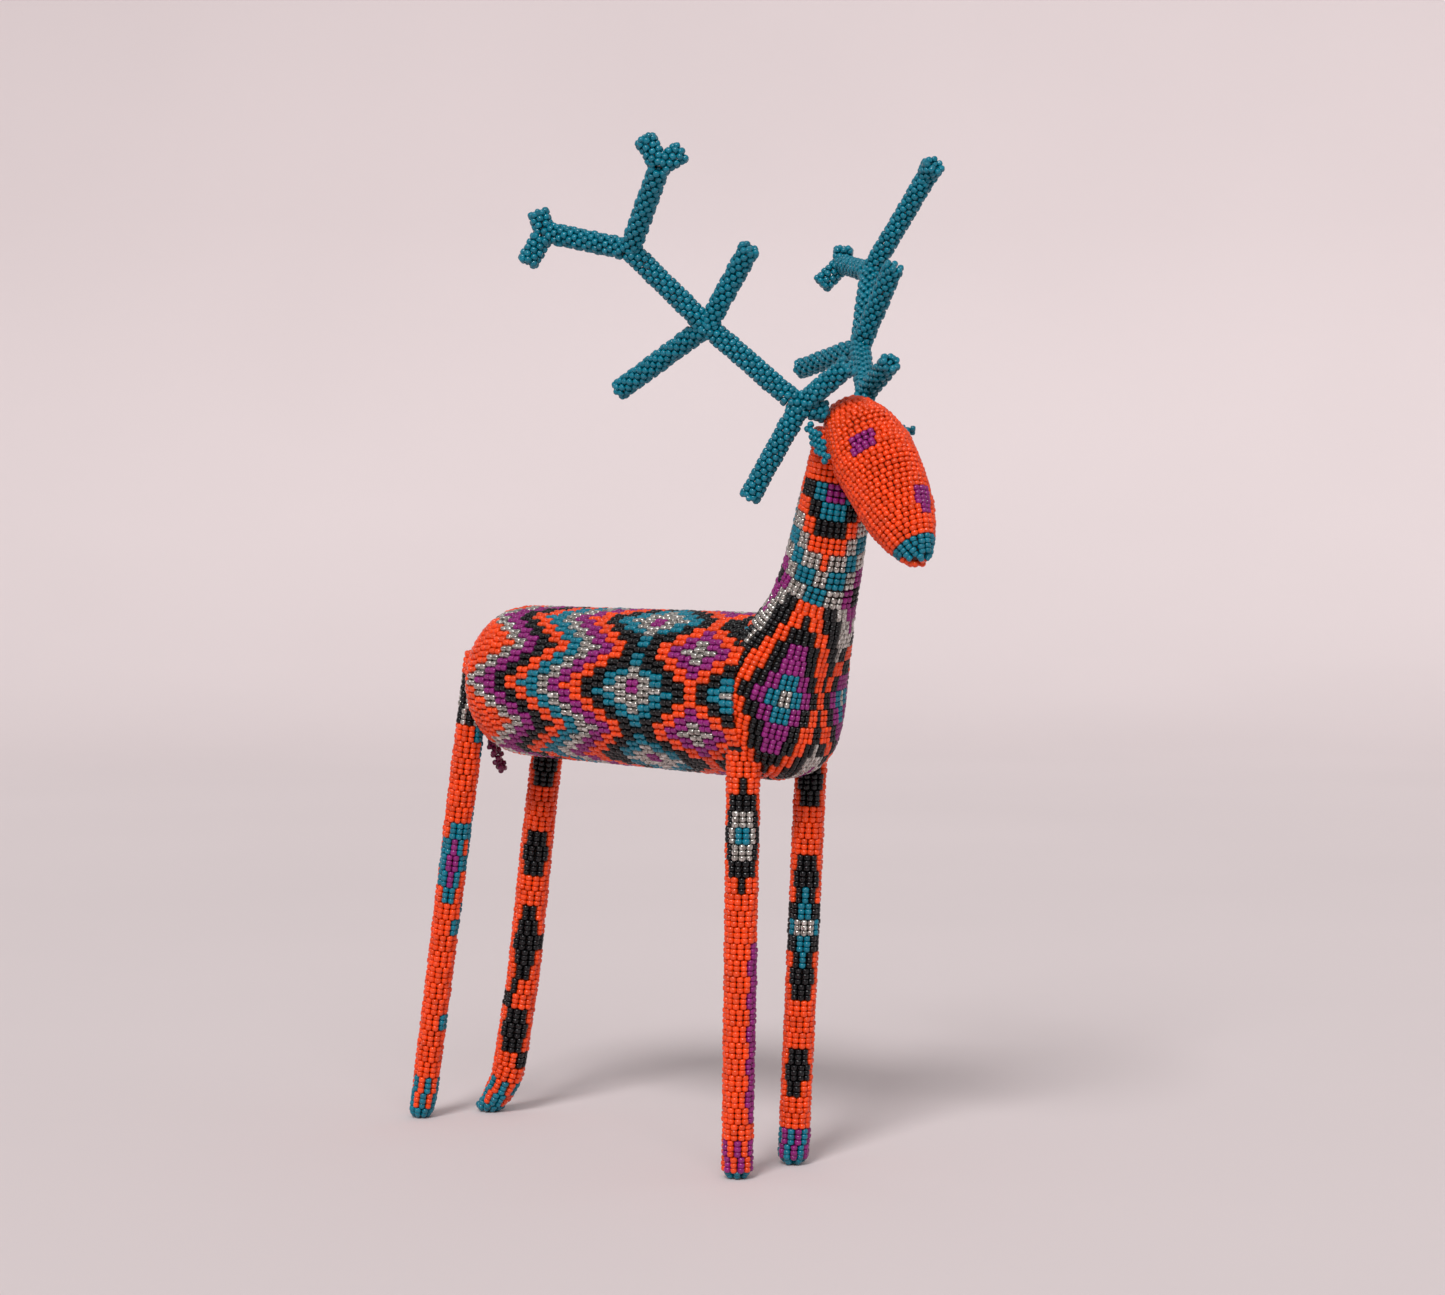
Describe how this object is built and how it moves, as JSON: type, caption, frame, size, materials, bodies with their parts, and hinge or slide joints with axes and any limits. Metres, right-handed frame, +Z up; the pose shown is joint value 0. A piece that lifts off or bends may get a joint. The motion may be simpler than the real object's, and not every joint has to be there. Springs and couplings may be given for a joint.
{
  "type": "beaded stag figure",
  "caption": "Standing stag figure: padded forms and bent wires covered in tubular woven glass beadwork, with branching antlers, sewn ears and a beaded tail loop; stands on capped feet.",
  "frame": {"origin": "on the ground under the middle of the figure's bounding box", "axes": "+Z up; the stag faces -Y; +X is the stag's left side"},
  "size_m": [0.1214, 0.1944, 0.2825],
  "materials": {
    "patterned_beads": "opaque glass beads woven in orange, black, teal, purple and silver-lined clear",
    "orange_beads": "glossy opaque orange-red glass beads",
    "teal_beads": "glossy opaque teal glass beads",
    "purple_beads": "glossy opaque purple glass beads",
    "maroon_beads": "glossy dark maroon glass beads",
    "black_beads": "glossy black glass beads",
    "silver_beads": "clear glass beads with a silvered hole",
    "thread": "white beading thread",
    "padding": "matte wadding wrapped in undyed cloth",
    "armature_wire": "drawn steel wire"
  },
  "bodies": {
    "figure": {"trunk_core": "padding", "trunk_sleeve": "patterned_beads", "rump_panel": "patterned_beads", "chest_neck_sleeve": "patterned_beads", "neck_core": "padding", "eye_patch_right": "purple_beads", "eye_patch_left": "purple_beads", "head_sleeve": "orange_beads", "nose_cap": "teal_beads", "head_core": "padding", "leg_front_right_sleeve": "patterned_beads", "leg_front_right_padding": "padding", "leg_front_right_wire": "armature_wire", "foot_cap_front_right": "teal_beads", "leg_front_left_sleeve": "patterned_beads", "leg_front_left_padding": "padding", "leg_front_left_wire": "armature_wire", "foot_cap_front_left": "teal_beads", "leg_rear_right_sleeve": "patterned_beads", "leg_rear_right_padding": "padding", "leg_rear_right_wire": "armature_wire", "foot_cap_rear_right": "teal_beads", "leg_rear_left_sleeve": "patterned_beads", "leg_rear_left_padding": "padding", "leg_rear_left_wire": "armature_wire", "foot_cap_rear_left": "teal_beads", "antler_wire_right": "armature_wire", "antler_right_beam_lower": "teal_beads", "antler_right_beam_upper": "teal_beads", "antler_right_brow_tine_front": "teal_beads", "antler_right_brow_tine_back": "teal_beads", "antler_right_crown_tine_front": "teal_beads", "antler_right_crown_tine_back": "teal_beads", "antler_right_upper_branch_front": "teal_beads", "antler_right_upper_branch_back": "teal_beads", "antler_right_front_prong_a": "teal_beads", "antler_right_front_prong_b": "teal_beads", "antler_right_back_prong_a": "teal_beads", "antler_right_back_prong_b": "teal_beads", "antler_wire_left": "armature_wire", "antler_left_beam_lower": "teal_beads", "antler_left_beam_upper": "teal_beads", "antler_left_brow_tine_front": "teal_beads", "antler_left_brow_tine_back": "teal_beads", "antler_left_crown_tine_front": "teal_beads", "antler_left_crown_tine_back": "teal_beads", "antler_left_upper_branch_front": "teal_beads", "antler_left_upper_branch_back": "teal_beads", "antler_left_front_prong_a": "teal_beads", "antler_left_front_prong_b": "teal_beads", "antler_left_back_prong_a": "teal_beads", "antler_left_back_prong_b": "teal_beads"},
    "ear_right": {"ear_right": "teal_beads"},
    "ear_left": {"ear_left": "teal_beads"},
    "tail_loop": {"tail_loop": "maroon_beads"}
  },
  "joints": [
    {"name": "ear_right_flap", "type": "hinge", "parent": "figure", "child": "ear_right", "pos_m": [-0.0173, -0.063, 0.2054], "axis": [0.1116, 0.744, -0.6588], "range_deg": [0, 30]},
    {"name": "ear_left_flap", "type": "hinge", "parent": "figure", "child": "ear_left", "pos_m": [0.0065, -0.0649, 0.2056], "axis": [-0.628, -0.5659, 0.5342], "range_deg": [0, 25]},
    {"name": "tail_swing", "type": "hinge", "parent": "figure", "child": "tail_loop", "pos_m": [-0.0055, 0.0673, 0.1155], "axis": [1, 0, 0], "range_deg": [-10, 60]}
  ]
}
